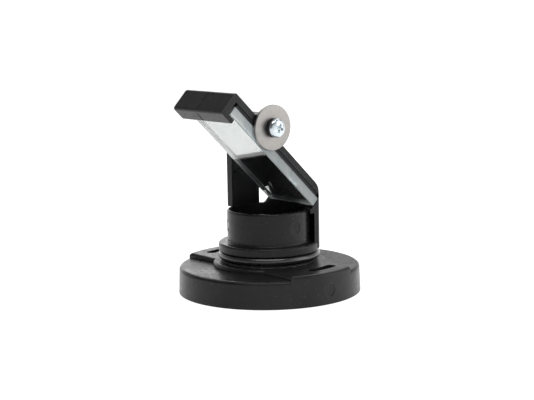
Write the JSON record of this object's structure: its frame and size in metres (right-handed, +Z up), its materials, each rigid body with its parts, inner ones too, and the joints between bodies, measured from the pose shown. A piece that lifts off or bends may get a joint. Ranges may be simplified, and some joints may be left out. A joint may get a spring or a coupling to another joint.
{
  "type": "swivel mirror bracket",
  "caption": "Round base cap with a collared neck that swivels in it and carries a sloping cradle holding a thick mirror at 44 degrees over the bore, kept in by a screw and a broad washer.",
  "frame": {"origin": "centre of the base cap's underside, on the swivel axis", "axes": "+Z up along the swivel axis; +X to the side with the mirror screw; -Y to the side the mirror looks out of, at rest"},
  "size_m": [0.1, 0.1, 0.1113],
  "materials": {
    "black_plastic": "satin moulded black, fine texture",
    "slip_plastic": "smooth low-friction plastic",
    "ring_rubber": "smooth, slightly greased rubber",
    "spring_steel": "dark oiled spring steel",
    "plate_glass": "polished plate glass with ground edges",
    "silvering": "bright silvering against the glass, dull dark paint behind and at its edges",
    "foam_pad": "dark closed-cell foam tape",
    "insert_brass": "turned and knurled brass",
    "washer_steel": "stamped steel, dull zinc",
    "bush_plastic": "moulded black",
    "zinc_steel": "bright bluish zinc plate"
  },
  "bodies": {
    "base": {"base_cap": "black_plastic", "thrust_washer": "slip_plastic", "slip_washer": "slip_plastic"},
    "head": {"swivel_neck": "black_plastic", "neck_o_ring": "ring_rubber", "retaining_ring": "spring_steel", "mirror_cradle": "black_plastic", "mirror_glass": "plate_glass", "mirror_backing": "silvering", "mirror_pad": "foam_pad", "threaded_insert": "insert_brass"},
    "retainer": {"spacer_bush": "bush_plastic"},
    "washer": {"retaining_washer": "washer_steel"},
    "screw": {"mirror_screw": "zinc_steel"}
  },
  "joints": [
    {"name": "head_swivel", "type": "hinge", "parent": "base", "child": "head", "pos_m": [0, 0, 0.02], "axis": [0, 0, 1], "continuous": true},
    {"name": "retainer_back_out", "type": "slide", "parent": "head", "child": "retainer", "axis": [1, 0, 0], "range_m": [0, 0.006]},
    {"name": "screw_turn", "type": "hinge", "parent": "retainer", "child": "screw", "pos_m": [0.027, -0.01553, 0.09211], "axis": [1, 0, 0], "range_deg": [0, 2701]},
    {"name": "washer_spin", "type": "hinge", "parent": "retainer", "child": "washer", "pos_m": [0.0232, -0.01553, 0.09211], "axis": [1, 0, 0], "continuous": true}
  ],
  "couplings": [
    {"joint": "screw_turn", "follows": "retainer_back_out", "rad_per_m": 7854}
  ]
}
